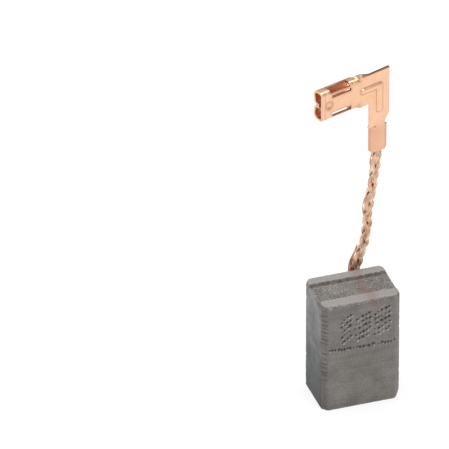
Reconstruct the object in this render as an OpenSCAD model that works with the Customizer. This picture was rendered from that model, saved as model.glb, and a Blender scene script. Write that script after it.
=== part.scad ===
// Carbon brush for a small power-tool motor.
// A pressed carbon block slides in a holder and is pushed on to the commutator by a spring on its top.
// A copper braid is tamped into its back and ends in a folded flag receptacle for a tab on the motor.
// Millimetres. The origin is the centre of the wear face, +Z points along the carbon to the spring end,
// +X runs across its wide faces and +Y points to the face that the braid leaves.

/* [Carbon block] */
// Width of the carbon, across its wide faces
block_w = 9.0; // [7:0.1:14]
// Thickness of the carbon, between its wide faces
block_t = 6.2; // [5:0.1:10]
// Length of the unworn carbon
block_l = 13.4; // [13:0.1:22]
// Chamfer of the four long edges
long_chamfer = 0.65; // [0.2:0.05:0.8]
// Chamfer of the two long edges of the spring end
top_chamfer = 0.15; // [0.05:0.05:0.4]
// Corner radius at the two ends of the spring end
top_round = 0.35; // [0.1:0.05:0.8]
// Corner radius of the wear face on the -X side
foot_round_left = 0.15; // [0.05:0.05:0.8]
// Corner radius of the wear face on the +X side
foot_round_right = 1; // [0.05:0.05:1.2]

/* [Spring groove] */
// Width of the ridge left in front of the groove
front_ridge = 1.45; // [0.8:0.05:2]
// Width of the ridge left behind the groove
back_ridge = 1.3; // [0.8:0.05:2]
// Depth of the groove
groove_depth = 0.35; // [0.1:0.05:1]
// Run of each sloping side of the groove
groove_slope = 0.15; // [0.05:0.05:0.4]

/* [Wear-limit line] */
// Height of the line above the wear face
limit_z = 7.6; // [4:0.1:9]
// Width of the line
limit_w = 0.2; // [0.1:0.05:0.5]
// Depth of the line
limit_depth = 0.12; // [0.05:0.01:0.3]
// Distance from each end of the line to the side of the carbon
limit_margin = 0.7; // [0.5:0.05:2]

/* [Braid] */
// Diameter of the plaited braid
braid_d = 1.2; // [0.9:0.05:1.3]
// Depth of the relief that the plaited strands make
plait_relief = 0.12; // [0.02:0.01:0.2]
// Number of strands that turn each way
plait_strands = 4; // [3:1:6]
// Distance along the braid from one crossing to the next
plait_pitch = 1.4; // [1.2:0.05:2.5]
// Length of braid held in the tamped hole
braid_hold = 3.3; // [2:0.1:3.6]

/* [Tamped hole] */
// Diameter of the blind hole that the braid is tamped into
hole_d = 2.0; // [1.7:0.05:2.6]
// Carbon between the bottom of the hole and the marked face
hole_floor = 2.6; // [1.8:0.1:3]
// Distance of the hole from the middle of the carbon, towards +X
hole_x = 1.7; // [0:0.1:2]
// Distance of the hole from the spring end
hole_drop = 2.2; // [1.6:0.1:2.4]
// Height that the tamped powder stands proud of the carbon
plug_proud = 0.1; // [0.02:0.02:0.3]

/* [Terminal sheet] */
// Thickness of the copper-alloy sheet
sheet_t = 0.25; // [0.2:0.01:0.3]
// Turn of the terminal round the braid, from square to the carbon
terminal_turn = 18; // [0:1:25]

/* [Crimp] */
// Outside width of the crimped barrel
crimp_w = 2.2; // [2:0.05:2.6]
// Outside depth of the crimped barrel
crimp_d = 1.2; // [1.15:0.05:1.5]
// Length of the crimped barrel
crimp_l = 3.3; // [2.5:0.1:4.5]
// Corner cut from the mouth of the barrel on its +X side
crimp_corner = 0.55; // [0.2:0.05:0.8]

/* [Flag plate] */
// Width of the upright arm of the flag
arm_w = 2.65; // [2.5:0.05:3.4]
// Distance from the crimp's axis to the outer edge of the flag
arm_out = 1.15; // [1.15:0.05:1.6]
// Height of the upright arm, from the crimp to the underside of the receptacle
arm_h = 3.2; // [2:0.1:5]
// Side of the corner cut off the arm above the crimp
arm_corner = 0.6; // [0.3:0.05:0.8]
// Rise of the flag's outer top corner above the receptacle
corner_rise = 0.18; // [0:0.02:0.6]
// Length of flat plate between the upright arm and the receptacle
neck_l = 1.3; // [1:0.05:2.5]
// Radius of the inner corner of the flag
inner_round = 0.3; // [0.1:0.05:0.6]

/* [Stiffening rib] */
// Width of the pressed rib
rib_w = 0.85; // [0.7:0.05:1]
// Height of the pressed rib
rib_rise = 0.2; // [0.1:0.02:0.24]
// Distance from the rib's lower end to the crimp
rib_start = 2.1; // [1.5:0.1:2.5]
// Distance from the rib's inner end to the receptacle
rib_end = 0.45; // [0.45:0.05:0.9]

/* [Receptacle] */
// Width of the blade that the receptacle takes
blade_w = 2.8; // [2.8:0.1:3.2]
// Thickness of the blade
blade_t = 0.5; // [0.5:0.05:0.8]
// Side play of the blade
blade_play = 0.3; // [0.1:0.05:0.4]
// Length of the rolled part of the receptacle
box_l = 5.1; // [4.6:0.1:7]
// Bend radius of the fold, on the sheet's middle
fold_r = 0.3; // [0.25:0.01:0.36]
// Gap between the two rolled sides at the seam
seam_gap = 0.12; // [0.06:0.02:0.3]
// Distance from the mouth to the slot in each fold
slot_start = 1.2; // [0.9:0.1:1.4]
// Length of the slot in each fold
slot_l = 2.7; // [1.5:0.1:2.8]
// Depth of the slot, across the flat of the receptacle
slot_w = 0.75; // [0.5:0.05:0.85]
// Distance that the rear ends of the rolled sides slope back
rear_slope = 0.9; // [0.3:0.1:1.1]
// Diameter of the latch dimple pressed into the flat
dimple_d = 1.3; // [0.8:0.1:1.6]
// Depth of the latch dimple
dimple_depth = 0.16; // [0.08:0.02:0.2]
// Distance of the latch dimple from the mouth
dimple_x = 0.95; // [0.9:0.05:1.2]

/* [Hidden] */

cut = 1;                // how far a cutting solid runs past the surface that it opens
slip = 0.02;            // clearance between a braid end and what grips it
tongue = 0.2;           // overlap of two stretches of the one sheet where they are joined
bend_step = 15;         // turn of one facet in a bent sheet
round_fn = 48;          // facets of round holes, bars and domes where they are drawn

back_y = block_t / 2;
hole_z = block_l - hole_drop;
hole_depth = block_t - hole_floor;

// Crimp: its tips dip into the braid, which is pressed to an oval that fills the barrel
tip_turn = 45;
tip_bend = 0.25;
tip_gap = 0.07;
crimp_bend = (crimp_d - sheet_t) / 2;
crimp_run = crimp_w / 2 - sheet_t / 2 - crimp_bend;
tip_run = crimp_run - tip_bend * sin(tip_turn) - (sheet_t * sin(tip_turn) + tip_gap) / 2;
tip_dip = tip_bend * (1 - cos(tip_turn)) + sheet_t * cos(tip_turn) / 2;
oval_d = crimp_d - 1.5 * sheet_t - tip_dip - 2 * slip;
oval_w = crimp_w - 2 * sheet_t - 5 * slip;
crimp_mid = sheet_t + slip + oval_d / 2;

// Flag and receptacle, measured from the crimp's axis and its lower end
arm_left = arm_out - arm_w;
arm_mid = arm_out - arm_w / 2;
box_h = blade_w + blade_play + 2 * sheet_t;
box_low = crimp_l + arm_h;
box_top = box_low + box_h;
box_mid = box_low + box_h / 2;
box_rear = arm_left - neck_l;
box_mouth = box_rear - box_l;

// Rolled side: a fold, a short upright side, and a lobe whose tip presses on the blade
lobe_turn = 165;
lobe_lean = lobe_turn - 90;
blade_slack = 0.05;
lobe_top = (box_h - sheet_t) / 2;
lobe_r = (lobe_top - seam_gap / 2 - sheet_t * sin(lobe_lean) / 2) / (1 + sin(lobe_lean));
lobe_side = sheet_t / 2 + blade_t + blade_slack - cos(lobe_lean) * (lobe_r - sheet_t / 2) - fold_r;
box_d = sheet_t + fold_r + lobe_side + lobe_r;

// Rib and dimple are pressed from the sheet, so each has an outer and an inner radius
rib_out_r = (pow(rib_w / 2, 2) + pow(rib_rise, 2)) / (2 * rib_rise);
rib_in_r = rib_out_r - sheet_t;
rib_z = box_mid + corner_rise / 2;
dimple_r = (pow(dimple_d / 2, 2) + pow(dimple_depth, 2)) / (2 * dimple_depth);

// Route of the braid, from the bottom of its hole to the stub above the crimp
ring_gap = 0.25;
ring_sides = 24;
braid_stub = 0.4;
ease = 0.8;             // length over which the plait fades into a gripped end
crimp_foot = [4.0, back_y + 0.65, 28.05];
route = [
    [hole_x, back_y - braid_hold, hole_z],
    [hole_x, back_y - braid_hold / 2, hole_z],
    [hole_x, back_y - 0.2, hole_z],
    [hole_x, back_y + plug_proud, hole_z],
    [hole_x, back_y + 0.7, hole_z + 0.25],
    [hole_x + 0.1, back_y + 1.1, hole_z + 0.9],
    [hole_x + 0.25, back_y + 1.3, hole_z + 1.9],
    [2.65, back_y + 1.3, 15.3],
    [3.05, back_y + 1.15, 17.6],
    [3.1, back_y + 1.0, 20.0],
    [3.4, back_y + 0.85, 22.3],
    [3.65, back_y + 0.75, 24.5],
    [3.9, back_y + 0.67, 26.7],
    crimp_foot,
    crimp_foot + [0, 0, crimp_l / 2],
    crimp_foot + [0, 0, crimp_l + braid_stub]
];

// ---- Shared geometry ----

// Points of an arc round a centre, both ends included
function arc(centre, r, from, to, steps = 6) =
    [for (i = [0 : steps]) centre + r * [cos(from + (to - from) * i / steps), sin(from + (to - from) * i / steps)]];

// Middle line of a bent sheet as [point, heading], from legs of [straight run, turn, bend radius]
function sheet_line(legs, p, heading, i = 0) =
    i == len(legs) ? [] :
    let (
        q = p + legs[i][0] * [cos(heading), sin(heading)],
        turn = legs[i][1],
        centre = q + legs[i][2] * [-sin(heading), cos(heading)],
        steps = max(1, ceil(turn / bend_step)),
        bend = [for (k = [1 : steps]) let (h = heading + turn * k / steps)
            [centre + legs[i][2] * [sin(h), -cos(h)], h]]
    )
    concat([[q, heading]], turn == 0 ? [] : bend,
        sheet_line(legs, turn == 0 ? q : bend[steps - 1][0], heading + turn, i + 1));

// Both halves of a folded section whose flat lies on the first axis, from the legs of one half
module folded_section(legs) {
    line = sheet_line(legs, [0, sheet_t / 2], 0);
    half = concat(
        [for (m = line) m[0] + sheet_t / 2 * [sin(m[1]), -cos(m[1])]],
        [for (i = [len(line) - 1 : -1 : 0]) line[i][0] + sheet_t / 2 * [-sin(line[i][1]), cos(line[i][1])]]);
    polygon(concat(half, [for (i = [len(half) - 1 : -1 : 0]) [-half[i][0], half[i][1]]]));
}

// ---- Carbon block ----

module block_plan() {
    x = block_w / 2;
    y = block_t / 2;
    c = long_chamfer;
    polygon([[-x + c, -y], [x - c, -y], [x, -y + c], [x, y - c], [x - c, y], [-x + c, y], [-x, y - c], [-x, -y + c]]);
}

module block_front() {
    x = block_w / 2;
    polygon(concat(
        arc([-x + foot_round_left, foot_round_left], foot_round_left, 180, 270),
        arc([x - foot_round_right, foot_round_right], foot_round_right, 270, 360),
        arc([x - top_round, block_l - top_round], top_round, 0, 90),
        arc([-x + top_round, block_l - top_round], top_round, 90, 180)));
}

module block_side() {
    y = block_t / 2;
    c = top_chamfer;
    floor_z = block_l - groove_depth;
    polygon([
        [-y, 0], [y, 0], [y, block_l - c], [y - c, block_l],
        [y - back_ridge, block_l], [y - back_ridge - groove_slope, floor_z],
        [-y + front_ridge + groove_slope, floor_z], [-y + front_ridge, block_l],
        [-y + c, block_l], [-y, block_l - c]]);
}

module limit_line() {
    translate([-block_w / 2 + limit_margin, -block_t / 2 - cut, limit_z - limit_w / 2])
        cube([block_w - 2 * limit_margin, cut + limit_depth, limit_w]);
}

module carbon_block() {
    color([0.4, 0.39, 0.38]) difference() {
        intersection() {
            linear_extrude(block_l) block_plan();
            translate([0, block_t / 2, 0]) rotate([90, 0, 0]) linear_extrude(block_t) block_front();
            translate([-block_w / 2, 0, 0]) rotate([90, 0, 90]) linear_extrude(block_w) block_side();
        }
        limit_line();
        translate([hole_x, back_y + cut, hole_z]) rotate([90, 0, 0])
            cylinder(d = hole_d, h = cut + hole_depth, $fn = round_fn);
    }
}

// ---- Tamped plug ----

module tamping_plug() {
    color([0.55, 0.3, 0.22]) translate([hole_x, back_y + plug_proud, hole_z]) rotate([90, 0, 0]) difference() {
        cylinder(d = hole_d, h = hole_depth + plug_proud, $fn = round_fn);
        translate([0, 0, -cut]) cylinder(d = braid_d + 2 * slip, h = cut + plug_proud + braid_hold + slip, $fn = round_fn);
    }
}

// ---- Braid ----

function spline(a, b, c, d, u) =
    0.5 * (2 * b + (c - a) * u + (2 * a - 5 * b + 4 * c - d) * u * u + (3 * b - a - 3 * c + d) * u * u * u);
function smooth(u) = let (v = min(1, max(0, u))) v * v * (3 - 2 * v);

braid_path = concat(
    [for (i = [0 : len(route) - 2])
        let (steps = ceil(norm(route[i + 1] - route[i]) / ring_gap))
        for (k = [0 : steps - 1])
            spline(route[max(0, i - 1)], route[i], route[i + 1], route[min(len(route) - 1, i + 2)], k / steps)],
    [route[len(route) - 1]]);
rings = len(braid_path);
braid_run = [for (i = 0, s = 0; i < rings;
    s = s + (i < rings - 1 ? norm(braid_path[i + 1] - braid_path[i]) : 0), i = i + 1) s];
grip_start = braid_run[rings - 1] - crimp_l - braid_stub;

// 0 on the round braid, 1 where the crimp has pressed it to an oval
function pressed(s) = smooth((s - grip_start + ease) / ease);
function plait(angle, s) = let (lead = 360 * s / plait_pitch)
    max(cos(plait_strands * angle + lead), cos(plait_strands * angle - lead));
function relief(s) = plait_relief * smooth((s - braid_hold) / ease) * (1 - pressed(s));
function braid_r(angle, s) = braid_d / 2 - relief(s) * (1 - plait(angle, s)) / 2;

// One cross-section of the braid, its first axis kept along the terminal's plate
function braid_ring(i) =
    let (
        s = braid_run[i],
        ahead = braid_path[min(rings - 1, i + 1)] - braid_path[max(0, i - 1)],
        along = ahead / norm(ahead),
        plate = [cos(terminal_turn), sin(terminal_turn), 0],
        flat = plate - (plate * along) * along,
        side = flat / norm(flat),
        back = cross(along, side),
        wide = 1 + (oval_w / braid_d - 1) * pressed(s),
        deep = 1 + (oval_d / braid_d - 1) * pressed(s)
    )
    [for (k = [0 : ring_sides - 1]) let (a = 360 * k / ring_sides)
        braid_path[i] + braid_r(a, s) * (wide * cos(a) * side + deep * sin(a) * back)];

module shunt() {
    n = ring_sides;
    color([0.75, 0.45, 0.3]) polyhedron(
        points = [for (i = [0 : rings - 1]) each braid_ring(i)],
        faces = concat(
            [[for (k = [0 : n - 1]) k]],
            [for (i = [0 : rings - 2]) for (k = [0 : n - 1])
                let (a = i * n + k, b = i * n + (k + 1) % n) each [[a, a + n, b + n], [a, b + n, b]]],
            [[for (k = [n - 1 : -1 : 0]) (rings - 1) * n + k]]),
        convexity = 6);
}

// ---- Terminal ----

module crimp_barrel() {
    difference() {
        linear_extrude(crimp_l)
            folded_section([[crimp_run, 180, crimp_bend], [tip_run, tip_turn, tip_bend]]);
        translate([crimp_w / 2, crimp_d + cut, 0]) rotate([90, 0, 0]) linear_extrude(crimp_d + 2 * cut)
            polygon([[-crimp_corner, 0], [cut, crimp_corner + cut], [cut, -cut], [-crimp_corner, -cut]]);
    }
}

module flag_outline() {
    flat_half = lobe_top - fold_r;
    polygon(concat(
        [[-crimp_run, crimp_l - tongue], [-crimp_run, crimp_l], [arm_left, crimp_l]],
        arc([arm_left - inner_round, box_low - inner_round], inner_round, 0, 90),
        [[box_rear, box_low], [box_rear, box_mid - flat_half], [box_rear - tongue, box_mid - flat_half],
            [box_rear - tongue, box_mid + flat_half], [box_rear, box_mid + flat_half], [box_rear, box_top],
            [box_rear + neck_l / 3, box_top], [arm_left, box_top + corner_rise * 0.6],
            [arm_out, box_top + corner_rise], [arm_out, crimp_l + 2 * arm_corner],
            [arm_out - arm_corner, crimp_l + arm_corner / 2], [arm_out - arm_corner, crimp_l],
            [crimp_run, crimp_l], [crimp_run, crimp_l - tongue]]));
}

// Round bar along the rib's two legs, with round ends, behind the plate's front
module rib_bar(r) {
    y = rib_out_r - rib_rise;
    inner_x = box_rear + rib_end;
    low_z = crimp_l + rib_start;
    translate([inner_x, y, rib_z]) rotate([0, 90, 0]) cylinder(r = r, h = arm_mid - inner_x, $fn = round_fn);
    translate([arm_mid, y, low_z]) cylinder(r = r, h = rib_z - low_z, $fn = round_fn);
    for (end = [[inner_x, y, rib_z], [arm_mid, y, rib_z], [arm_mid, y, low_z]])
        translate(end) sphere(r = r, $fn = round_fn);
}

module flag_plate() {
    difference() {
        union() {
            translate([0, sheet_t, 0]) rotate([90, 0, 0]) linear_extrude(sheet_t) flag_outline();
            intersection() {
                rib_bar(rib_out_r);
                translate([box_rear, -cut, crimp_l]) cube([arm_out - box_rear, cut + sheet_t, box_top - crimp_l]);
            }
        }
        rib_bar(rib_in_r);
    }
}

module receptacle() {
    dimple = [box_mouth + dimple_x, dimple_depth - dimple_r, box_mid];
    difference() {
        union() {
            translate([box_mouth, 0, box_mid]) rotate([0, 90, 0]) linear_extrude(box_l)
                folded_section([[lobe_top - fold_r, 90, fold_r], [lobe_side, lobe_turn, lobe_r]]);
            intersection() {
                translate(dimple) sphere(r = dimple_r + sheet_t, $fn = round_fn);
                translate([box_mouth, sheet_t / 2, box_low]) cube([2 * dimple_x, box_d, box_h]);
            }
        }
        translate(dimple) sphere(r = dimple_r, $fn = round_fn);
        for (side = [0, 1]) translate([box_mouth + slot_start, -cut, box_mid]) mirror([0, 0, side])
            translate([0, 0, box_h / 2 - slot_w]) cube([slot_l, cut + sheet_t + blade_t, slot_w + cut]);
        translate([box_rear, 0, box_low - cut]) linear_extrude(box_h + 2 * cut)
            polygon([[0, sheet_t], [-rear_slope, box_d], [-rear_slope, box_d + cut], [cut, box_d + cut], [cut, sheet_t]]);
    }
}

module terminal() {
    color([0.85, 0.55, 0.4]) translate(crimp_foot) rotate([0, 0, terminal_turn]) translate([0, -crimp_mid, 0]) union() {
        crimp_barrel();
        flag_plate();
        receptacle();
    }
}

carbon_block();
tamping_plug();
shunt();
terminal();
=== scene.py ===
import math

import bpy
import bmesh
import numpy as np
from mathutils import Matrix, Vector, geometry, noise


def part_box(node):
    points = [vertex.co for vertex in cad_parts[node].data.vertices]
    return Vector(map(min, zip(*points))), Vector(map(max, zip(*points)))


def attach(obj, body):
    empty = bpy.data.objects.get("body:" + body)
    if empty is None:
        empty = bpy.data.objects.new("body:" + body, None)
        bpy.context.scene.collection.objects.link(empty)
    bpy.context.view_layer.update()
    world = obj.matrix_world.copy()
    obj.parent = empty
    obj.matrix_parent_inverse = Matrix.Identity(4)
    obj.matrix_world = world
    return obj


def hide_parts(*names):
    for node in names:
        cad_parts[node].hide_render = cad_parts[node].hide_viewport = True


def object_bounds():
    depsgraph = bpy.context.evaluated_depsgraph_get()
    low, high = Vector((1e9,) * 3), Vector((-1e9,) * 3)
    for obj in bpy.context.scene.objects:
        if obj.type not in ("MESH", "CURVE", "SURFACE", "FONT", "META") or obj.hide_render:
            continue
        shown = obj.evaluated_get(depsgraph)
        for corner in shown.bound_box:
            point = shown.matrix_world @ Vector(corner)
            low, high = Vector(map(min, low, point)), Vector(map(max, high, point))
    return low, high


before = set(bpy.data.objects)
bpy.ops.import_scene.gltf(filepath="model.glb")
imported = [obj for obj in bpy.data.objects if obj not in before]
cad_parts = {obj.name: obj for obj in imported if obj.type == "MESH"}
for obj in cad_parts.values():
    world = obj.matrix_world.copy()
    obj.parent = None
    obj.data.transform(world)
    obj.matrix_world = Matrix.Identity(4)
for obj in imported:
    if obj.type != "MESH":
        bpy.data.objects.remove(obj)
cad_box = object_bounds()

# ---- Studio ----
# A photographer's table top: a white sweep that the brush stands on, a long lens looking down on
# the brush from its front left, and soft boxes above and beside it.

MM = 0.001
view_turn = math.radians(-18.81)
view_height = math.radians(33.14)
camera_distance = 1400 * MM
lens_length = 1034.6
frame_right = 13.85 * MM  # how far the brush stands right of the middle of the frame
frame_below = 17.88 * MM

turn = Matrix.Rotation(view_turn, 3, "Z") @ Matrix.Rotation(math.pi / 2 - view_height, 3, "X")
to_right, to_top, to_camera = turn.col
aim = to_top * frame_below - to_right * frame_right

camera_data = bpy.data.cameras.new("camera")
camera_data.lens = lens_length
camera_data.clip_start = 0.05
camera_data.clip_end = 10
camera = bpy.data.objects.new("camera", camera_data)
camera.rotation_euler = turn.to_euler()
camera.location = aim + to_camera * camera_distance
bpy.context.scene.collection.objects.link(camera)
bpy.context.scene.camera = camera
bpy.context.scene.view_settings.view_transform = "Standard"


def add(tree, kind, inputs=(), **settings):
    """A new node in a shader or geometry tree, with its settings, and its inputs set or linked."""
    made = tree.nodes.new(kind)
    for name, value in settings.items():
        setattr(made, name, value)
    for key, value in dict(inputs).items():
        if isinstance(key, int):
            socket = made.inputs[key]
        else:
            socket = next(s for s in made.inputs if s.name == key and s.enabled)
        if isinstance(value, bpy.types.NodeSocket):
            tree.links.new(value, socket)
        else:
            socket.default_value = value
    return made


def soft_box(name, place, size, watts):
    """A square lamp at a place, facing the brush."""
    data = bpy.data.lights.new(name, "AREA")
    data.size = size
    data.energy = watts
    lamp = bpy.data.objects.new(name, data)
    lamp.location = place
    lamp.rotation_euler = (-Vector(place)).to_track_quat("-Z", "Y").to_euler()
    bpy.context.scene.collection.objects.link(lamp)


soft_box("top_box", (0.05, 0.1, 0.75), 0.7, 4.6)
soft_box("front_box", (0.25, -0.7, 0.45), 0.5, 2.0)
soft_box("left_box", (-0.7, 0.1, 0.6), 0.5, 1.9)

world = bpy.data.worlds.new("white_room")
bpy.context.scene.world = world
world.use_nodes = True
air = world.node_tree
air.nodes.clear()
ray = add(air, "ShaderNodeLightPath").outputs
straight = add(air, "ShaderNodeMath", {0: ray["Is Camera Ray"], 1: ray["Is Transmission Ray"]},
               operation="MAXIMUM")
room_light = add(air, "ShaderNodeBackground", {"Color": (0.95, 0.97, 1, 1), "Strength": 0.42})
room_white = add(air, "ShaderNodeBackground", {"Color": (1, 1, 1, 1), "Strength": 1})
mixed = add(air, "ShaderNodeMixShader", {
    0: straight.outputs[0], 1: room_light.outputs[0], 2: room_white.outputs[0]})
add(air, "ShaderNodeOutputWorld", {"Surface": mixed.outputs[0]})


def new_material(name):
    """A material and its emptied tree."""
    made = bpy.data.materials.new(name)
    made.use_nodes = True
    made.node_tree.nodes.clear()
    return made, made.node_tree


paper, sheet = new_material("white_sweep")
ray = add(sheet, "ShaderNodeLightPath").outputs
shadow_left = 0.25  # share of the sweep's own shading that the camera sees
seen = add(sheet, "ShaderNodeMath", {0: ray["Is Camera Ray"], 1: ray["Is Glossy Ray"]},
           operation="MAXIMUM")
seen = add(sheet, "ShaderNodeMath", {0: seen.outputs[0], 1: ray["Is Transmission Ray"]},
           operation="MAXIMUM")
seen = add(sheet, "ShaderNodeMath", {0: seen.outputs[0], 1: 1 - shadow_left}, operation="MULTIPLY")
matt = add(sheet, "ShaderNodeBsdfDiffuse", {"Color": (0.86, 0.86, 0.86, 1)})
white = add(sheet, "ShaderNodeEmission", {"Color": (1, 1, 1, 1), "Strength": 1.06})
mixed = add(sheet, "ShaderNodeMixShader", {0: seen.outputs[0], 1: matt.outputs[0], 2: white.outputs[0]})
add(sheet, "ShaderNodeOutputMaterial", {"Surface": mixed.outputs[0]})

sweep_half = 2.0
sweep = bpy.data.meshes.new("sweep")
sweep.from_pydata(
    [(x * sweep_half, y * sweep_half, cad_box[0].z)
     for x, y in ((-1, -1), (1, -1), (1, 1), (-1, 1))],
    [], [(0, 1, 2, 3)])
sweep.materials.append(paper)
floor = bpy.data.objects.new("sweep", sweep)
bpy.context.scene.collection.objects.link(floor)

# ---- Carbon block ----
# Carbon and graphite powder, pressed to a block, baked and ground on its wide faces. The groove of
# its spring end is ground too, and a row of dots is peened into the marked face as its wear limit.

block_x, block_y, block_z = (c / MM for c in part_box("carbon_block")[1])
long_chamfer = 0.65
top_chamfer = 0.15
top_round = 0.35
foot_round_left = 0.15
foot_round_right = 1
groove_top = (-block_y + 1.45, block_y - 1.3)  # its front and back edge
groove_slope = 0.15
groove_depth = 0.35
limit_z = 7.6
hatched_fields = [(-2.3, -1.35, 8.5, 11.8), (-0.65, 0.9, 8.5, 11.8),
                  (1.5, 3.1, 8.8, 12.1)]  # left, right, foot and head
hatch_rise = 0.66
punch_r = 0.135
punch_depth = 0.1
glint_r = 0.1
scatter_seed = 1795445595  # where the dots stray to, the same on every run


def rule(stops, pitches):
    """Grid lines from stop to stop, about one pitch apart in each stretch."""
    lines = [stops[0]]
    for start, end, pitch in zip(stops, stops[1:], pitches):
        count = max(1, round((end - start) / pitch))
        lines += [start + (end - start) * k / count for k in range(1, count + 1)]
    return lines


def shell(xs, ys, zs):
    """Points and outward faces of a box whose six sides are ruled by the same lines."""
    index = {}
    points = []

    def corner(*at):
        if at not in index:
            index[at] = len(points)
            points.append((xs[at[0]], ys[at[1]], zs[at[2]]))
        return index[at]

    nx, ny, nz = len(xs) - 1, len(ys) - 1, len(zs) - 1
    faces = []
    for i in range(nx):
        for k in range(nz):
            ring = [(i, k), (i + 1, k), (i + 1, k + 1), (i, k + 1)]
            faces.append([corner(a, 0, c) for a, c in ring])
            faces.append([corner(a, ny, c) for a, c in ring[::-1]])
        for j in range(ny):
            ring = [(i, j), (i + 1, j), (i + 1, j + 1), (i, j + 1)]
            faces.append([corner(a, b, nz) for a, b in ring])
            faces.append([corner(a, b, 0) for a, b in ring[::-1]])
    for j in range(ny):
        for k in range(nz):
            ring = [(j, k), (j + 1, k), (j + 1, k + 1), (j, k + 1)]
            faces.append([corner(nx, b, c) for b, c in ring])
            faces.append([corner(0, b, c) for b, c in ring[::-1]])
    return np.array(points), faces


xs = rule([-block_x, -block_x + long_chamfer, -3.1, 3.4, 3.8, block_x - long_chamfer, block_x],
          [0.07, 0.1, 0.07, 0.1, 0.05, 0.05])
ys = rule([-block_y, -block_y + top_chamfer, -block_y + long_chamfer, groove_top[0],
           groove_top[0] + groove_slope, groove_top[1] - groove_slope, groove_top[1],
           block_y - long_chamfer, block_y - top_chamfer, block_y],
          [0.05, 0.09, 0.12, 0.05, 0.12, 0.05, 0.12, 0.09, 0.05])
zs = rule([0, foot_round_right, 7.4, 12.9, block_z - groove_depth, block_z],
          [0.07, 0.16, 0.07, 0.1, 0.06])
points, faces = shell(xs, ys, zs)
x, y, z = points.T

# The long edges: a square corner of the grid is drawn in to the chamfer
across = np.clip((abs(x) - block_x + long_chamfer) / long_chamfer, 0, 1)
through = np.clip((abs(y) - block_y + long_chamfer) / long_chamfer, 0, 1)
x = x - np.sign(x) * long_chamfer * across * through / 2
y = y - np.sign(y) * long_chamfer * across * through / 2


def rounded(r, side):
    """Fall of a corner of radius r at one side of the block."""
    out = np.clip(side * x - block_x + r, 0, r)
    return r - np.sqrt(r * r - out * out)


# The two ends: how far each falls short of a flat end at that place
ridge = np.interp(y, [-block_y, -block_y + top_chamfer, groove_top[0], groove_top[0] + groove_slope,
                      groove_top[1] - groove_slope, groove_top[1], block_y - top_chamfer, block_y],
                  [top_chamfer, 0, 0, groove_depth, groove_depth, 0, 0, top_chamfer])
drop = np.maximum(ridge, rounded(top_round, 1) + rounded(top_round, -1))
lift = rounded(foot_round_right, 1) + rounded(foot_round_left, -1)
z = z + lift * np.clip(1 - z / 2, 0, 1) - drop * np.clip((z - block_z + 1.1) / 1.1, 0, 1)


def dots(start, end, pitch):
    """Centres of a peened row of dots."""
    count = max(1, round(math.dist(start, end) / pitch))
    return [(start[0] + (end[0] - start[0]) * k / count, start[1] + (end[1] - start[1]) * k / count)
            for k in range(count + 1)]


# The wear-limit line, and above it plain hatching where such a block is marked
peened = dots((-3.75, limit_z), (3.75, limit_z), 0.36)
for left, right, foot, head in hatched_fields:
    for k in range(round((head - foot) / hatch_rise)):
        level = foot + k * hatch_rise
        peened += dots((left, level), (right, level + hatch_rise), 0.4)

front = (y < -block_y + 0.01) & (abs(x) < block_x - long_chamfer)
marks = np.zeros(len(x))
glints = np.zeros(len(x))
noise.seed_set(scatter_seed)
for n, (mark_x, mark_z) in enumerate(peened):
    stray = noise.noise_vector(Vector((n * 0.77, 3.1, 0)))
    spot_x = mark_x + 0.2 * stray.x
    spot_z = mark_z + 0.2 * stray.y
    punch = punch_r + 0.12 * stray.z
    marks = np.maximum(marks, np.clip(1.4 - np.hypot(x - spot_x, z - spot_z) / punch, 0, 1))
    # Painted highlight: a bright speck beside some dots, where a raised burr would catch the light; no
    # burr is modelled
    from_glint = np.hypot(x - spot_x - 0.13, z - spot_z + 0.15)
    glinting = min(1, max(0, 0.55 + 2 * stray.x))
    glints = np.maximum(glints, np.clip(1.5 - from_glint / glint_r, 0, 1) * glinting)
marks = np.where(front, marks, 0)
glints = np.where(front, glints * (1 - marks), 0)
y = y + punch_depth * marks

# Chatter of the grinding wheel across the front left chamfer
tick_levels = [3.9, 4.45, 4.9, 5.4, 5.95, 6.6, 7.2, 8.6, 9.1, 9.5, 10.05, 10.5, 10.9, 11.5, 12.1]
ticks = np.zeros(len(x))
on_chamfer = np.clip(1.5 - abs(x + block_x - 0.5 * long_chamfer) / (0.45 * long_chamfer), 0, 1)
on_chamfer = on_chamfer * (y < -block_y + long_chamfer)
for n, level in enumerate(tick_levels):
    bend = 0.12 * math.sin(n * 2.3)
    tick = np.clip(1.3 - abs(z - level - bend * (x + block_x)) / 0.11, 0, 1)
    ticks = np.maximum(ticks, tick * (0.5 + 0.5 * abs(math.sin(n * 1.7 + 0.6))))
ticks = ticks * np.clip(on_chamfer, 0, 1)

block = bpy.data.meshes.new("pressed_carbon")
block.from_pydata(np.column_stack([x, y, z]) * MM, [], faces)
block.update()

# Wear along the edges: how sharply the faces round a point differ, spread to its neighbours
facing = np.zeros((len(x), 3))
shares = np.zeros(len(x))
for face in block.polygons:
    for v in face.vertices:
        facing[v] += face.normal
        shares[v] += 1
edge = 1 - np.linalg.norm(facing, axis=1) / shares
edge = np.clip(edge / 0.12, 0, 1)
ends = np.array([e.vertices for e in block.edges])
for _ in range(3):
    spread = edge.copy()
    np.maximum.at(spread, ends[:, 0], 0.72 * edge[ends[:, 1]])
    np.maximum.at(spread, ends[:, 1], 0.72 * edge[ends[:, 0]])
    edge = spread

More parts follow.
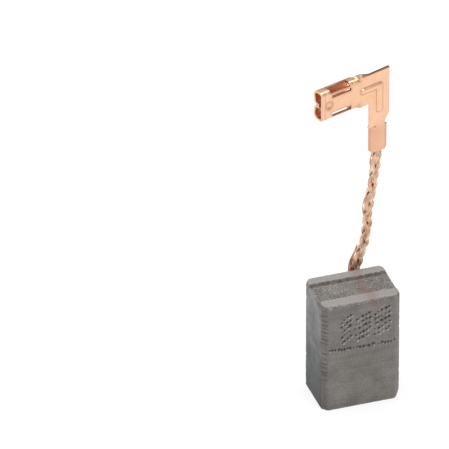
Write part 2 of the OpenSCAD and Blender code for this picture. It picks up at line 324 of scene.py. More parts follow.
places = np.column_stack([x, y, z])
outward = facing / np.linalg.norm(facing, axis=1)[:, None]
chipped = np.empty(len(x))
uneven = np.empty(len(x))
for n, place in enumerate(places):
    at = Vector(place)
    chips = noise.fractal(at * 2.6, 1, 2, 3)
    crumbled = 1 + 1.6 * math.exp(-(at - Vector((3.6, 2.4, block_z))).length_squared / 1.2)
    chipped[n] = 0.012 + 0.1 * crumbled * max(0, chips) ** 1.4
    uneven[n] = 0.006 * noise.fractal(at * 1.1 + Vector((7, 0, 0)), 1, 2, 2)
places = places - outward * (edge * chipped + 0.02 * ticks + np.abs(uneven) * (marks < 0.01))[:, None]
block.vertices.foreach_set("co", (places * MM).ravel())

# Where the shade differs: ridge tops painted lighter as a painted sheen, painted shade in the groove's
# corners, a darker foot of the front left chamfer, the left face painted darker towards its foot as
# painted shade, and the copper that the braid's end has left on the spring end
x, y, z = places.T
# Ridge tops outside the groove, painted lighter further on as a painted sheen
at_top = z > block_z - 0.06
in_groove = (y > groove_top[0] - 0.02) & (y < groove_top[1] + 0.02) & (z > block_z - groove_depth - 0.1)
broken = np.array([np.clip(0.5 + 1.6 * noise.noise(Vector(place) * 1.9), 0, 1) for place in places])
# Painted shade: the groove's corners are darkened where shade falls in them
groove_corner_shade = np.exp(-((y - groove_top[1] + 0.1) / 0.12) ** 2)
groove_corner_shade = groove_corner_shade + np.exp(-((y - groove_top[0] - 0.1) / 0.14) ** 2)
groove_corner_shade = groove_corner_shade * (0.2 + 0.6 * broken)
left_face = np.clip((-x - block_x + 0.1) / 0.1, 0, 1)
# Painted shade: the left face is painted darker towards its foot, where less light reaches it
left_foot_shade = left_face * np.clip(1.1 - z / 10, 0, 1)
# Darker towards the foot of the front left chamfer
chamfer_foot_dark = np.exp(-((x + block_x - 0.5 * long_chamfer) / 0.4) ** 2) * (y < 0)
chamfer_foot_dark = chamfer_foot_dark * np.clip(1.2 - z / 6, 0, 1)
stain = np.exp(-((x - 1.3) / 0.65) ** 2) * np.clip((z - block_z + 1.6) / 1.2, 0, 1)
shades = {"edge_wear": edge, "peening": marks, "painted_glint": glints, "painted_top_sheen": at_top & ~in_groove,
          "corner_shade_chatter_and_dark_foot": np.clip(groove_corner_shade * in_groove + 0.95 * ticks + 0.55 * chamfer_foot_dark, 0, 1),
          "left_face": left_face, "painted_left_foot_shade": left_foot_shade, "copper_stain": stain,
          "ground_top": z > block_z - groove_depth - 0.1}
for name, values in shades.items():
    block.attributes.new(name, "FLOAT", "POINT").data.foreach_set("value", np.array(values, float))
block.update()


def object_space(tree, scale=(1, 1, 1)):
    """Object coordinates in millimetres, times a scale."""
    space = add(tree, "ShaderNodeTexCoord").outputs["Object"]
    scale = tuple(s / MM for s in scale)
    return add(tree, "ShaderNodeMapping", {"Vector": space, "Scale": scale}).outputs[0]


def ramp(tree, value, stops):
    """A colour ramp, from (place, colour) stops."""
    made = add(tree, "ShaderNodeValToRGB", {0: value})
    steps = made.color_ramp.elements
    steps[0].position, steps[0].color = stops[0][0], (*stops[0][1], 1)
    steps[1].position, steps[1].color = stops[-1][0], (*stops[-1][1], 1)
    for place, colour in stops[1:-1]:
        steps.new(place).color = (*colour, 1)
    return made.outputs["Color"]


def mix(tree, factor, first, second, blend="MIX"):
    """Two colours mixed."""
    made = tree.nodes.new("ShaderNodeMix")
    made.data_type = "RGBA"
    made.blend_type = blend
    for place, value in ((0, factor), (6, first), (7, second)):
        socket = made.inputs[place]
        if isinstance(value, bpy.types.NodeSocket):
            tree.links.new(value, socket)
        else:
            socket.default_value = value
    return made.outputs[2]


carbon, tree = new_material("pressed_carbon")
grain_space = object_space(tree)
saw_space = object_space(tree, (0.13, 0.13, 2.6))
clouds = add(tree, "ShaderNodeTexNoise", {
    "Vector": grain_space, "Scale": 0.55, "Detail": 5, "Roughness": 0.6})
grains = add(tree, "ShaderNodeTexNoise", {
    "Vector": grain_space, "Scale": 9, "Detail": 4, "Roughness": 0.7})
flecks = add(tree, "ShaderNodeTexNoise", {"Vector": grain_space, "Scale": 17, "Detail": 1})
sawn = add(tree, "ShaderNodeTexNoise", {
    "Vector": saw_space, "Scale": 1, "Detail": 3, "Roughness": 0.55})
tone = ramp(tree, clouds.outputs[0], [(0.3, (0.142, 0.13, 0.117)), (0.7, (0.216, 0.199, 0.181))])
speck = ramp(tree, grains.outputs[0], [
    (0.34, (0.62, 0.62, 0.62)), (0.5, (1, 1, 1)), (0.7, (1.35, 1.35, 1.35))])
tone = mix(tree, 1, tone, speck, "MULTIPLY")
lines = ramp(tree, sawn.outputs[0], [(0.35, (0.92, 0.92, 0.92)), (0.65, (1.07, 1.07, 1.07))])
tone = mix(tree, 1, tone, lines, "MULTIPLY")
bright = ramp(tree, flecks.outputs[0], [(0.69, (0, 0, 0)), (0.74, (1, 1, 1))])
tone = mix(tree, bright, tone, (0.42, 0.42, 0.41, 1))
coarse = add(tree, "ShaderNodeTexNoise", {
    "Vector": grain_space, "Scale": 5, "Detail": 3, "Roughness": 0.7})
gritty = ramp(tree, coarse.outputs[0], [
    (0.36, (0.4, 0.4, 0.4)), (0.5, (1, 1, 1)), (0.66, (1.9, 1.9, 1.9))])


def shade_by(tone, name, share, colour, blend="MIX"):
    """The tone with a colour laid over it where a named shade of the mesh says so."""
    amount = add(tree, "ShaderNodeAttribute", attribute_name=name).outputs["Fac"]
    amount = add(tree, "ShaderNodeMath", {0: amount, 1: share}, operation="MULTIPLY").outputs[0]
    return mix(tree, amount, tone, colour, blend)


tone = shade_by(tone, "ground_top", 0.8, gritty, "MULTIPLY")
tone = shade_by(tone, "edge_wear", 0.32, (0.28, 0.262, 0.243, 1))
# Painted sheen: the ridge tops outside the groove are painted lighter, as the light from above shows
# them
tone = shade_by(tone, "painted_top_sheen", 0.6, (0.37, 0.345, 0.325, 1))
slide_marks = ramp(tree, clouds.outputs[0], [
    (0.35, (0.1, 0.11, 0.118)), (0.5, (0.19, 0.2, 0.2)), (0.62, (0.3, 0.3, 0.29))])
tone = shade_by(tone, "left_face", 0.65, slide_marks)
# Painted shade, darker towards the foot of the left face
tone = shade_by(tone, "painted_left_foot_shade", 0.9, (0.022, 0.026, 0.03, 1))
tone = shade_by(tone, "copper_stain", 0.4, (0.2, 0.1, 0.085, 1))
# Painted shade in the groove's corners, with the grinding chatter and the darker chamfer foot, in one
# dark colour
tone = shade_by(tone, "corner_shade_chatter_and_dark_foot", 0.75, (0.045, 0.038, 0.032, 1))
# Painted highlight beside the dots
tone = shade_by(tone, "painted_glint", 0.8, (0.5, 0.48, 0.45, 1))
tone = shade_by(tone, "peening", 0.92, (0.012, 0.011, 0.01, 1))
grit = add(tree, "ShaderNodeMath", {0: grains.outputs[0], 1: sawn.outputs[0]}, operation="ADD")
bump = add(tree, "ShaderNodeBump", {"Strength": 0.3, "Distance": 0.00005, "Height": grit.outputs[0]})
rough = add(tree, "ShaderNodeMapRange", {0: grains.outputs[0], 3: 0.42, 4: 0.62})
skin = add(tree, "ShaderNodeBsdfPrincipled", {
    "Base Color": tone, "Roughness": rough.outputs[0], "Specular IOR Level": 0.32,
    "Normal": bump.outputs[0]})
add(tree, "ShaderNodeOutputMaterial", {"Surface": skin.outputs[0]})
block.materials.append(carbon)


def place_piece(name, mesh, node, smooth=50):
    """Puts a finished mesh in the scene in place of a solid."""
    mesh.set_sharp_from_angle(angle=math.radians(smooth))
    piece = bpy.data.objects.new(name, mesh)
    bpy.context.scene.collection.objects.link(piece)
    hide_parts(node)
    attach(piece, "root")
    return piece


def finished_mesh(made):
    """The plain mesh of an object with its modifiers applied; the object itself goes."""
    bpy.context.view_layer.update()
    evaluated = made.evaluated_get(bpy.context.evaluated_depsgraph_get())
    mesh = bpy.data.meshes.new_from_object(evaluated)
    bpy.data.objects.remove(made)
    return mesh


# The blind hole of the braid
hole_low, hole_high = (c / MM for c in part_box("tamping_plug"))
hole_r = (hole_high.x - hole_low.x) / 2
drill = bmesh.new()
bmesh.ops.create_cone(drill, cap_ends=True, segments=72, radius1=hole_r, radius2=hole_r,
                      depth=hole_high.y - hole_low.y)
drill_mesh = bpy.data.meshes.new("drill")
to_hole = Matrix.Translation((hole_low + hole_high) / 2) @ Matrix.Rotation(math.pi / 2, 4, "X")
bmesh.ops.transform(drill, matrix=to_hole, verts=drill.verts)
bmesh.ops.scale(drill, vec=(MM, MM, MM), verts=drill.verts)
drill.to_mesh(drill_mesh)
drill.free()
drill_object = bpy.data.objects.new("drill", drill_mesh)
block_object = bpy.data.objects.new("pressed_carbon", block)
bpy.context.scene.collection.objects.link(drill_object)
bpy.context.scene.collection.objects.link(block_object)
bore = block_object.modifiers.new("bore", "BOOLEAN")
bore.object = drill_object
block = finished_mesh(block_object)
bpy.data.objects.remove(drill_object)
for face in block.polygons:
    face.use_smooth = True
place_piece("pressed_carbon", block, "carbon_block")

# ---- Tamped plug ----
# Copper powder, tamped round the end of the braid in the blind hole of the carbon's back. It sets to
# a dull red-brown ring that stands a little proud, with a ragged rim where the powder crept out.

plug_axis = (hole_low + hole_high) / 2
plug_hole_r = 0.62
plug_proud = 0.1
plug_top = hole_high.y
plug_bottom = hole_low.y
braid_hold = 3.32
sides = 72
profile = [
    (plug_hole_r, plug_top - plug_proud - braid_hold), (plug_hole_r, plug_top - 0.09),
    (0.63, plug_top - 0.02), (0.7, plug_top), (0.8, plug_top), (0.9, plug_top - 0.02),
    (0.96, plug_top - 0.05), (hole_r, plug_top - 0.09), (hole_r, plug_bottom)]
points = []
for r, depth in profile:
    for k in range(sides):
        angle = 2 * math.pi * k / sides
        lump = noise.fractal(Vector((3 * math.cos(angle), 3 * math.sin(angle), r * 4)), 1, 2, 3)
        shown = depth > block_y
        points.append((plug_axis.x + r * math.cos(angle), depth + (0.05 * lump - 0.04 if shown else 0),
                       plug_axis.z + r * math.sin(angle)))
faces = [(ring * sides + k, ring * sides + (k + 1) % sides,
          (ring + 1) * sides + (k + 1) % sides, (ring + 1) * sides + k)
         for ring in range(len(profile) - 1) for k in range(sides)]
for depth, ring in ((profile[0][1], 0), (plug_bottom, len(profile) - 1)):
    centre = len(points)
    points.append((plug_axis.x, depth, plug_axis.z))
    turned = [(ring * sides + k, ring * sides + (k + 1) % sides, centre) for k in range(sides)]
    faces += turned if ring else [f[::-1] for f in turned]
plug = bpy.data.meshes.new("tamped_copper_powder")
plug.from_pydata([Vector(p) * MM for p in points], [], faces)
for face in plug.polygons:
    face.use_smooth = True

powder, tree = new_material("tamped_copper_powder")
grains = add(tree, "ShaderNodeTexNoise", {
    "Vector": object_space(tree), "Scale": 14, "Detail": 3, "Roughness": 0.7})
tone = ramp(tree, grains.outputs[0], [
    (0.35, (0.11, 0.035, 0.025)), (0.55, (0.3, 0.12, 0.08)), (0.72, (0.62, 0.3, 0.2))])
bump = add(tree, "ShaderNodeBump", {"Strength": 0.8, "Distance": 0.00004, "Height": grains.outputs[0]})
skin = add(tree, "ShaderNodeBsdfPrincipled", {
    "Base Color": tone, "Metallic": 0.6, "Roughness": 0.6, "Normal": bump.outputs[0]})
add(tree, "ShaderNodeOutputMaterial", {"Surface": skin.outputs[0]})
plug.materials.append(powder)
place_piece("tamped_copper_powder", plug, "tamping_plug")

# ---- Shunt ----
# Bare copper wire, plaited from bundles that cross over and under each other round a core, and cut
# to one length. One end is held by the tamped powder and the other is pressed in the crimp.

braid_route = [
    (1.7, -0.2, 11.2), (1.7, 1.45, 11.2), (1.7, 2.9, 11.2), (1.7, 3.2, 11.2),
    (1.7, 3.8, 11.45), (1.8, 4.2, 12.1), (1.95, 4.4, 13.1), (2.65, 4.4, 15.3),
    (3.05, 4.25, 17.6), (3.1, 4.1, 20.0), (3.4, 3.95, 22.3), (3.65, 3.85, 24.5),
    (3.9, 3.77, 26.7), (4.0, 3.75, 28.05), (4.0, 3.75, 29.7), (4.0, 3.75, 31.75)]
braid_d = 1.2
crimp_grip = 3.7      # length that is pressed, in the crimp and just above it
pressed_wide = 1.6    # the oval that it is pressed to
pressed_deep = 0.62
terminal_turn = math.radians(18)
bundles = 3           # that turn each way
wires = 10            # side by side in one bundle
lay = 7.6             # length of one whole turn of a bundle
wire_d = 0.095
bundle_spread = 1.3   # angle that one bundle covers, radians
weave_r = 0.42        # middle of the weave, and how far a bundle rises and dips
weave_rise = 0.12
core_d = 0.5


def spline_points(knots, pitch):
    """Points about a pitch apart on the smooth curve through the knots."""
    knots = [Vector(k) for k in knots]
    made = []
    for n in range(len(knots) - 1):
        a, b = knots[max(0, n - 1)], knots[n]
        c, d = knots[n + 1], knots[min(len(knots) - 1, n + 2)]
        steps = max(1, math.ceil((c - b).length / pitch))
        for k in range(steps):
            u = k / steps
            made.append(0.5 * (2 * b + (c - a) * u + (2 * a - 5 * b + 4 * c - d) * u * u
                               + (3 * b - a - 3 * c + d) * u ** 3))
    return made + [knots[-1]]


path = spline_points(braid_route, 0.1)
path_run = sum((b - a).length for a, b in zip(path, path[1:]))
line = bpy.data.meshes.new("braid_line")
line.from_pydata([p * MM for p in path], [(n, n + 1) for n in range(len(path) - 1)], [])
line_object = bpy.data.objects.new("braid_line", line)
bpy.context.scene.collection.objects.link(line_object)

copper_wire, wire_tree = new_material("bare_copper_wire")

plait = bpy.data.node_groups.new("plaited_braid", "GeometryNodeTree")
plait.interface.new_socket("Line", in_out="INPUT", socket_type="NodeSocketGeometry")
sizes = {"Turns": 2 * math.pi / (lay * MM), "Weave": 2 * math.pi * bundles / (lay * MM),
         "Radius": weave_r * MM, "Rise": weave_rise * MM, "Spread": bundle_spread,
         "Wire": wire_d / 2 * MM, "Core": core_d / 2 * MM,
         "Wide": pressed_wide / braid_d, "Deep": pressed_deep / braid_d,
         "Grip": (path_run - crimp_grip) * MM, "Step": 0.14 * MM}
for name in sizes:
    plait.interface.new_socket(name, in_out="INPUT", socket_type="NodeSocketFloat")
plait.interface.new_socket("Braid", in_out="OUTPUT", socket_type="NodeSocketGeometry")
given = add(plait, "NodeGroupInput").outputs


def work(operation, *values):
    """One sum in the plait's tree."""
    return add(plait, "ShaderNodeMath", dict(enumerate(values)), operation=operation).outputs[0]


def arrow(operation, *values, out=0):
    """One vector sum in the plait's tree; a scale's factor is its fourth input."""
    inputs = {3 if operation == "SCALE" and n == 1 else n: v for n, v in enumerate(values)}
    return add(plait, "ShaderNodeVectorMath", inputs, operation=operation).outputs[out]


curve = add(plait, "GeometryNodeMeshToCurve", {"Mesh": given["Line"]}).outputs[0]
curve = add(plait, "GeometryNodeResampleCurve", {"Curve": curve, "Length": given["Step"]},
            mode="LENGTH").outputs[0]
copies = add(plait, "GeometryNodeDuplicateElements", {"Geometry": curve, "Amount": 2 * bundles * wires},
             domain="SPLINE")
number = copies.outputs["Duplicate Index"]
run = add(plait, "GeometryNodeSplineParameter").outputs["Length"]
wire = work("MODULO", number, wires)
bundle = work("FLOOR", work("DIVIDE", work("ADD", number, 0.01), wires))
way = work("SUBTRACT", work("MULTIPLY", work("GREATER_THAN", bundle, bundles - 0.5), -2.0), -1.0)
beside = work("SUBTRACT", work("DIVIDE", wire, (wires - 1) / 2), 1.0)

# Every wire wanders a little from its place
wander_at = add(plait, "ShaderNodeCombineXYZ", {
    0: work("MULTIPLY", run, 900.0), 1: work("MULTIPLY", number, 7.3)})
wander = add(plait, "ShaderNodeTexNoise", {"Vector": wander_at.outputs[0], "Scale": 1, "Detail": 1})
sway = work("SUBTRACT", wander.outputs[0], 0.5)

# 0 on the round braid and 1 where the crimp has pressed it
held = add(plait, "ShaderNodeMapRange", {
    "Value": run, 1: work("SUBTRACT", given["Grip"], 0.0008), 2: given["Grip"], 3: 0, 4: 1},
    interpolation_type="SMOOTHSTEP").outputs[0]

# Each wire's place round the core, and how far out it lies
angle = work("MULTIPLY", work("MULTIPLY", way, given["Turns"]), run)
angle = work("ADD", angle, work("MULTIPLY", bundle, 2 * math.pi / bundles))
angle = work("ADD", angle, work("MULTIPLY", work("MULTIPLY", beside, given["Spread"]), 0.5))
angle = work("ADD", angle, work("MULTIPLY", sway, 0.45))
rise = work("COSINE", work("MULTIPLY", run, given["Weave"]))
rise = work("MULTIPLY", rise, work("MULTIPLY", way, given["Rise"]))
arch = work("MULTIPLY", work("MULTIPLY", beside, beside), work("MULTIPLY", given["Rise"], -0.75))
radius = work("ADD", work("ADD", rise, arch), work("MULTIPLY", sway, 0.0001))
radius = work("ADD", given["Radius"], radius)
side_way = (math.cos(terminal_turn), math.sin(terminal_turn), 0)
along = add(plait, "GeometryNodeInputTangent").outputs[0]
side = arrow("SUBTRACT", side_way, arrow("SCALE", along, arrow("DOT_PRODUCT", along, side_way, out=1)))
side = arrow("NORMALIZE", side)
back = arrow("CROSS_PRODUCT", along, side)
wide = work("ADD", work("MULTIPLY", work("SUBTRACT", given["Wide"], 1.0), held), 1.0)
deep = work("ADD", work("MULTIPLY", work("SUBTRACT", given["Deep"], 1.0), held), 1.0)
out_side = arrow("SCALE", side, work("MULTIPLY", work("MULTIPLY", work("COSINE", angle), radius), wide))
out_back = arrow("SCALE", back, work("MULTIPLY", work("MULTIPLY", work("SINE", angle), radius), deep))
spot = add(plait, "GeometryNodeInputPosition").outputs[0]
spot = arrow("ADD", spot, arrow("ADD", out_side, out_back))
laid = add(plait, "GeometryNodeSetPosition", {
    "Geometry": copies.outputs["Geometry"], "Position": spot}).outputs[0]
shade = add(plait, "FunctionNodeRandomValue", {2: 0.15, 3: 1.0, "ID": number, "Seed": 4},
            data_type="FLOAT")
laid = add(plait, "GeometryNodeStoreNamedAttribute", {
    "Geometry": laid, "Name": "wire_shade", "Value": shade.outputs[1]},
    data_type="FLOAT", domain="CURVE").outputs[0]


def drawn_along(line, radius, corners):
    """Round wire of a radius along every curve of a line."""
    section = add(plait, "GeometryNodeCurvePrimitiveCircle", {"Resolution": corners, "Radius": radius})
    return add(plait, "GeometryNodeCurveToMesh", {
        "Curve": line, "Profile Curve": section.outputs[0], "Fill Caps": True}).outputs[0]


drawn = drawn_along(laid, given["Wire"], 5)
# The core, which the wire material draws dark red as painted shade in the gaps between the bundles
core = drawn_along(curve, given["Core"], 16)
whole = add(plait, "GeometryNodeJoinGeometry")
plait.links.new(core, whole.inputs[0])
plait.links.new(drawn, whole.inputs[0])
whole = add(plait, "GeometryNodeRealizeInstances", {"Geometry": whole.outputs[0]}).outputs[0]
whole = add(plait, "GeometryNodeSetShadeSmooth", {"Geometry": whole}).outputs[0]
whole = add(plait, "GeometryNodeSetMaterial", {"Geometry": whole, "Material": copper_wire}).outputs[0]
add(plait, "NodeGroupOutput", {"Braid": whole})

plaiting = line_object.modifiers.new("plait", "NODES")
plaiting.node_group = plait
for socket in plait.interface.items_tree:
    if socket.in_out == "INPUT" and socket.name in sizes:
        plaiting[socket.identifier] = sizes[socket.name]
braid = finished_mesh(line_object)

tree = wire_tree
shade = add(tree, "ShaderNodeAttribute", attribute_name="wire_shade").outputs["Fac"]
space = object_space(tree)
patches = add(tree, "ShaderNodeTexNoise", {"Vector": space, "Scale": 1.3, "Detail": 3})
# Painted shade: the core has no wire_shade, so it takes the darkest stop and darkens the gaps between
# the bundles; the wires vary at random from 0.15 up
tone = ramp(tree, shade, [
    (0, (0.2, 0.035, 0.02)), (0.12, (0.95, 0.48, 0.32)), (0.4, (1, 0.7, 0.5)), (1, (1, 0.86, 0.7))])
stain = ramp(tree, patches.outputs[0], [(0.38, (0.6, 0.42, 0.36)), (0.55, (1, 1, 1))])
tone = mix(tree, 0.45, tone, stain, "MULTIPLY")
height = add(tree, "ShaderNodeSeparateXYZ", {0: space}).outputs[2]
foot = add(tree, "ShaderNodeMapRange", {0: height, 1: 12.2, 2: 14.2, 3: 0.85, 4: 0}).outputs[0]
tone = mix(tree, foot, tone, (0.3, 0.07, 0.05, 1))
skin = add(tree, "ShaderNodeBsdfPrincipled", {"Base Color": tone, "Metallic": 0.85, "Roughness": 0.4})
add(tree, "ShaderNodeOutputMaterial", {"Surface": skin.outputs[0]})
place_piece("plaited_braid", braid, "shunt", 80)

# Wires that have sprung from the plait at its foot and below the crimp
strays = [
    [(2.05, 4.75, 15.1), (1.62, 4.72, 14.2), (1.2, 4.62, 13.3), (1.0, 4.2, 12.3), (1.25, 3.3, 11.4)],
    [(2.0, 4.8, 14.8), (1.6, 4.8, 13.9), (1.32, 4.68, 13.0), (1.1, 4.1, 12.0), (1.35, 3.3, 11.3)],
    [(2.1, 4.7, 15.5), (1.85, 4.66, 14.7), (1.5, 4.55, 13.6), (1.2, 4.3, 12.6), (1.15, 3.3, 11.5)],
    [(1.95, 4.85, 14.5), (1.72, 4.9, 13.7), (1.55, 4.75, 12.9), (1.35, 4.1, 11.9), (1.45, 3.3, 11.2)],
    [(2.55, 4.75, 15.0), (2.5, 4.85, 14.0), (2.4, 4.75, 12.9), (2.2, 4.1, 11.9), (2.05, 3.3, 11.2)],
    [(3.45, 4.1, 25.2), (3.28, 4.05, 26.1), (3.36, 4.0, 27.0), (3.55, 3.85, 28.0)],
    [(3.5, 4.2, 25.0), (3.36, 4.15, 25.9), (3.42, 4.1, 26.8), (3.6, 3.9, 27.9)],
    [(2.68, 4.3, 19.4), (2.54, 4.25, 20.3), (2.68, 4.2, 21.3), (2.95, 4.1, 22.2)]]
sprung = bpy.data.curves.new("sprung_wires", "CURVE")
sprung.dimensions = "3D"
sprung.bevel_depth = 0.06 * MM
sprung.bevel_resolution = 1
sprung.use_fill_caps = True
for stray in strays:
    bends = spline_points(stray, 0.15)
    strand = sprung.splines.new("POLY")
    strand.points.add(len(bends) - 1)
    strand.points.foreach_set("co", [c for bend in bends for c in (*(bend * MM), 1)])
sprung_object = bpy.data.objects.new("sprung_wires", sprung)
bpy.context.scene.collection.objects.link(sprung_object)
loose = finished_mesh(sprung_object)
loose_shade = loose.attributes.new("wire_shade", "FLOAT", "POINT")
loose_shade.data.foreach_set("value", [0.45] * len(loose.vertices))
loose.materials.clear()
loose.materials.append(copper_wire)
place_piece("sprung_wires", loose, "shunt", 80)

# ---- Terminal ----
# One blank of copper-alloy sheet, sheared, slotted and pressed with a stiffening rib and a latch
# dimple. Its foot is folded round the braid as a crimp and its flag is rolled to a blade receptacle.
# Sizes across and up the blank are measured from the foot of the crimp's axis.

sheet_t = 0.25
crimp_foot = Vector((4.0, 3.75, 28.05))
crimp_mid = 0.582     # from the front of the sheet to the braid's axis
crimp_w = 2.2
crimp_l = 3.3
crimp_corner = 0.55
crimp_legs = [(0.5, 180, 0.475), (0.2, 45, 0.25)]  # straight run, turn in degrees, bend radius
arm_out = 1.15
arm_left = -1.5
arm_corner = 0.6
box_low = 6.5
box_h = 3.6
box_mid = box_low + box_h / 2
box_top = box_low + box_h
box_rear = -2.8
box_mouth = -7.9
box_d = 1.52
box_legs = [(1.375, 90, 0.3), (0.42, 100, 0.55), (0.62, 75, 0.3), (0.4, 0, 0)]
corner_rise = 0.18
inner_round = 0.3
rib_w = 0.85
rib_rise = 0.2
rib_path = [(-2.35, 8.39), (-0.175, 8.39), (-0.175, 5.4)]
dimple_d = 1.3
dimple_depth = 0.16
dimple_at = (box_mouth + 0.95, box_mid)
# Slots: from and to behind the mouth, near and far side from the receptacle's middle
slots = [(1.35, 3.9, 0.85, 1.2), (1.15, 3.75, 1.4, 2.3),
         (1.35, 3.9, -1.02, -1.46), (1.15, 3.95, -1.68, -2.5)]
rear_slope = 0.9
pitch = 0.08


def fold(t, amount, legs):
    """Places across and behind the flat of points t from its middle, at a share of the whole fold."""
    lengths, turns = [0], [0]
    for straight, bend, r in legs:
        lengths += [lengths[-1] + straight, lengths[-1] + straight + math.radians(bend) * r]
        turns += [turns[-1], turns[-1] + math.radians(bend)]
    share = (np.arange(160) + 0.5) / 160
    heading = amount[:, None] * np.interp(abs(t)[:, None] * share, lengths, turns)
    return np.cos(heading).mean(1) * t, np.sin(heading).mean(1) * abs(t)


def half_length(legs):
    """Length of sheet from the middle of a fold to its edge."""
    return sum(straight + math.radians(bend) * r for straight, bend, r in legs)


def folded(t, legs):
    """Place across and behind of one point of a whole fold."""
    across, behind = fold(np.array([t]), np.ones(1), legs)
    return across[0], behind[0]


crimp_half = half_length(crimp_legs)
box_half = half_length(box_legs)
crimp_edge = [(t, max(0, folded(t, crimp_legs)[0] - (crimp_w / 2 - crimp_corner)))
              for t in np.linspace(-crimp_half, crimp_half, 60)]
slope = rear_slope / (box_d - sheet_t)
rear_edge = [(box_rear - slope * max(0, folded(t, box_legs)[1] - sheet_t / 2), t)
             for t in np.linspace(box_h / 2 + 0.5, box_half, 30)]
corner_x = arm_left - inner_round
corner_z = box_low - inner_round
inner_corner = [(corner_x + inner_round * math.cos(turned), corner_z + inner_round * math.sin(turned))
                for turned in np.linspace(math.pi / 2, 0, 6)]
right_side = [
    (crimp_half, crimp_l - 0.7), (1.3, crimp_l - 0.45), (0.85, crimp_l - 0.15),
    (arm_out - arm_corner, crimp_l), (arm_out - arm_corner, crimp_l + arm_corner / 2),
    (arm_out, crimp_l + 2 * arm_corner), (arm_out, box_top + corner_rise)]
top_side = [(arm_left, box_top + corner_rise * 0.6), (box_rear + 1.0, box_top + 0.18),
            (box_rear + 0.65, box_top + 0.29), (box_rear + 0.3, box_top + 0.4)]
box_side = [(across, box_mid + t) for across, t in rear_edge]
box_side += [(box_mouth, box_mid + box_half), (box_mouth, box_mid - box_half)]
box_side += [(across, box_mid - t) for across, t in rear_edge[::-1]]
left_side = [(box_rear + 0.3, box_low - 0.04), *inner_corner, (arm_left, crimp_l + 0.25),
             (arm_left - 0.12, crimp_l + 0.2), (arm_left - 0.1, crimp_l + 0.03),
             (-0.6, crimp_l + 0.03), (-0.6, crimp_l - 0.1), (-crimp_half, crimp_l - 0.1)]
outline = crimp_edge + right_side + top_side + box_side + left_side
loops = [outline]
for start, end, near, far in slots:
    corners = ((start, near), (end, near), (end, far), (start, far))
    loops.append([(box_mouth + across, box_mid + t) for across, t in corners])

rim = []
rim_edges = []
for loop in loops:
    first = len(rim)
    for start, end in zip(loop, loop[1:] + loop[:1]):
        count = max(1, round(math.dist(start, end) / pitch))
        rim += [(start[0] + (end[0] - start[0]) * k / count, start[1] + (end[1] - start[1]) * k / count)
                for k in range(count)]
    rim_edges += [(n, n + 1) for n in range(first, len(rim) - 1)] + [(len(rim) - 1, first)]
rim = np.array(rim)


def inside(a, b, loop):
    """Which points lie inside a closed loop."""
    within = np.zeros(len(a), bool)
    for (a0, b0), (a1, b1) in zip(loop, loop[1:] + loop[:1]):
        if b0 != b1:
            within ^= ((b0 > b) != (b1 > b)) & (a < a0 + (a1 - a0) * (b - b0) / (b1 - b0))
    return within


# The blank's points: a runs across it and b up it
a, b = (grid.ravel() for grid in np.meshgrid(
    np.arange(box_mouth, crimp_half, pitch), np.arange(0, box_mid + box_half, pitch)))
clear = inside(a, b, outline)
for slot in loops[1:]:
    clear &= ~inside(a, b, slot)
for spot in rim:
    clear &= np.hypot(a - spot[0], b - spot[1]) > 0.6 * pitch
spots = [Vector(p) for p in rim] + [Vector(p) for p in zip(a[clear], b[clear])]
spots, _, faces, *_ = geometry.delaunay_2d_cdt(spots, rim_edges, [], 1, 1e-6, False)
a, b = np.array(spots).T
middle_a, middle_b = (np.array([[p[n] for n in f] for f in faces]).mean(1) for p in (a, b))
solid = inside(middle_a, middle_b, outline)
for slot in loops[1:]:
    solid &= ~inside(middle_a, middle_b, slot)
faces = [face for face, kept in zip(faces, solid) if kept]


def eased(v):
    """A smooth step from 0 to 1."""
    v = np.clip(v, 0, 1)
    return v * v * (3 - 2 * v)


# Both folds, each eased where the flat takes over
in_crimp = np.where(a < 0, eased((crimp_l + 0.03 - b) / 0.13), eased((crimp_l + 0.03 - b) / 0.4))
in_box = eased((box_rear + 0.35 - a) / 0.65)
across, behind = fold(a, in_crimp, crimp_legs)
across_box, behind_box = fold(b - box_mid, in_box, box_legs)
place_a = np.where(b < crimp_l + 0.03, across, a)
place_b = np.where(a < box_rear + 0.35, box_mid + across_box, b)
depth = sheet_t / 2 + behind + behind_box

# Rib and dimple, pressed out of the flat
near_rib = np.full(len(a), 9.0)
for start, end in zip(rib_path, rib_path[1:]):
    run = Vector(end) - Vector(start)
    share = np.clip(((a - start[0]) * run.x + (b - start[1]) * run.y) / run.length_squared, 0, 1)
    near_rib = np.minimum(near_rib, np.hypot(a - start[0] - share * run.x, b - start[1] - share * run.y))
rib_r = ((rib_w / 2) ** 2 + rib_rise ** 2) / (2 * rib_rise) - sheet_t / 2
rib_arch = np.sqrt(np.maximum(rib_r ** 2 - near_rib ** 2, 0)) - (rib_r - rib_rise)
depth = depth - np.maximum(rib_arch, 0)
from_dimple = np.hypot(a - dimple_at[0], b - dimple_at[1])
depth = depth + dimple_depth * eased(1.15 * (1 - from_dimple / (dimple_d / 2)))
from_mouth = a - box_mouth
depth = depth - 0.09 * np.clip(1 - from_mouth / 0.4, 0, 1) ** 2 * (abs(b - box_mid) < 1.5)
root = np.exp(-((a - box_rear + 0.25) / 0.55) ** 2 - ((abs(b - box_mid) - 1.6) / 0.4) ** 2)
dents = np.array([noise.fractal(Vector((p, q, 3)) * 0.9, 1, 2, 2) for p, q in zip(a, b)])
crumples = np.array([noise.noise(Vector((p, q, 8)) * 3.1) for p, q in zip(a, b)])
depth = depth + 0.02 * dents + 0.09 * root * crumples

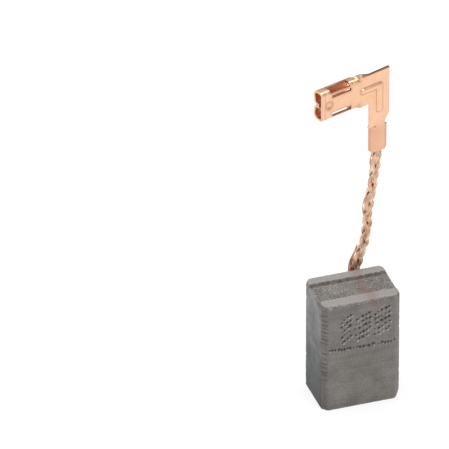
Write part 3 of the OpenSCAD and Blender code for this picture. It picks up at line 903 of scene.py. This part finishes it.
# Where the skin is painted darker: painted shade round the rib, the dimple and the slots, at the mouth
# and the roots of the folds and on the crimp's bends, a painted dark reflection on the sheared top of
# the flag, and a little tarnish over the whole crimp
near_slot = np.full(len(a), 9.0)
for start, end, near, far in slots:
    past_a = np.maximum(np.maximum(start - from_mouth, from_mouth - end), 0)
    past_b = np.maximum(np.maximum(min(near, far) - (b - box_mid), (b - box_mid) - max(near, far)), 0)
    near_slot = np.minimum(near_slot, np.hypot(past_a, past_b))
# Painted shade along the foot of the rib, round the dimple and along the slots
tarnish_and_painted_shade = 0.85 * np.exp(-((near_rib - 0.4) / 0.06) ** 2)
tarnish_and_painted_shade = np.maximum(tarnish_and_painted_shade, 0.5 * np.exp(-((from_dimple - 0.5) / 0.16) ** 2))
tarnish_and_painted_shade = np.maximum(tarnish_and_painted_shade, 0.5 * np.exp(-near_slot / 0.12))
# Painted shade at the mouth's flare and at the crumpled roots of the folds
at_mouth = np.exp(-((from_mouth - 0.4) / 0.1) ** 2) * (abs(b - box_mid) < 1.8)
tarnish_and_painted_shade = np.maximum(tarnish_and_painted_shade, 0.35 * at_mouth)
tarnish_and_painted_shade = np.maximum(tarnish_and_painted_shade, 0.6 * root * np.clip(0.6 + 1.5 * crumples, 0, 1))
tarnish_and_painted_shade = np.maximum(tarnish_and_painted_shade, 0.22 * eased((crimp_l + 0.6 - b) / 1.2))
# Painted shade on both bends of the crimp, which turn away from the light
tarnish_and_painted_shade = np.maximum(tarnish_and_painted_shade, 0.95 * np.exp(-((a - 0.95) / 0.4) ** 2) * (b < crimp_l))
tarnish_and_painted_shade = np.maximum(tarnish_and_painted_shade, 0.5 * np.exp(-((a + 1.2) / 0.3) ** 2) * (b < crimp_l))
# Painted dark reflection on the sheared top edge of the flag
tarnish_and_painted_shade = np.maximum(tarnish_and_painted_shade, (b > box_top - 0.01) & (a > box_rear + 0.3))

place = np.column_stack([place_a, depth - crimp_mid, place_b])
to_world = np.array(Matrix.Rotation(terminal_turn, 3, "Z"))
place = place @ to_world.T + np.array(crimp_foot)
blank = bpy.data.meshes.new("folded_sheet")
blank.from_pydata(place * MM, [], faces)
blank.attributes.new("tarnish_and_painted_shade", "FLOAT", "POINT").data.foreach_set("value", np.array(tarnish_and_painted_shade, float))
blank.update()

# Both skins of the sheet and its sheared edge, which has a bright, slightly broken corner
sheet_object = bpy.data.objects.new("folded_sheet", blank)
bpy.context.scene.collection.objects.link(sheet_object)
copper_sheet, skin_tree = new_material("rolled_copper_alloy")
sheared_edge, edge_tree = new_material("sheared_copper_edge")
blank.materials.append(copper_sheet)
blank.materials.append(sheared_edge)
thick = sheet_object.modifiers.new("thickness", "SOLIDIFY")
thick.thickness = sheet_t * MM
thick.offset = 0
thick.use_even_offset = True
thick.material_offset_rim = 1
broken = sheet_object.modifiers.new("broken_corners", "BEVEL")
broken.width = 0.035 * MM
broken.segments = 2
broken.limit_method = "ANGLE"
broken.angle_limit = math.radians(55)
terminal = finished_mesh(sheet_object)
terminal.name = "folded_sheet"
for face in terminal.polygons:
    face.use_smooth = True

# Each finish: its duller and its brighter colour, its colour for tarnish and painted shade, and its
# roughness
finishes = [(skin_tree, (0.9, 0.53, 0.34), (0.98, 0.62, 0.41), (0.5, 0.2, 0.12, 1), 0.34),
            (edge_tree, (0.8, 0.48, 0.32), (0.95, 0.62, 0.45), (0.14, 0.09, 0.07, 1), 0.42)]
for tree, dull, bright, dark, roughness in finishes:
    space = object_space(tree)
    clouds = add(tree, "ShaderNodeTexNoise", {
        "Vector": space, "Scale": 0.7, "Detail": 4, "Roughness": 0.6})
    fine = add(tree, "ShaderNodeTexNoise", {"Vector": space, "Scale": 14, "Detail": 2})
    tone = ramp(tree, clouds.outputs[0], [(0.3, dull), (0.65, bright)])
    tarnish_and_shade = add(tree, "ShaderNodeAttribute", attribute_name="tarnish_and_painted_shade").outputs["Fac"]
    tone = mix(tree, tarnish_and_shade, tone, dark)
    worn = add(tree, "ShaderNodeMapRange", {
        0: clouds.outputs[0], 3: roughness - 0.08, 4: roughness + 0.08})
    bump = add(tree, "ShaderNodeBump", {
        "Strength": 0.12, "Distance": 0.00002, "Height": fine.outputs[0]})
    skin = add(tree, "ShaderNodeBsdfPrincipled", {
        "Base Color": tone, "Metallic": 1, "Roughness": worn.outputs[0], "Normal": bump.outputs[0]})
    add(tree, "ShaderNodeOutputMaterial", {"Surface": skin.outputs[0]})
place_piece("folded_sheet", terminal, "terminal", 40)

bpy.context.view_layer.update()
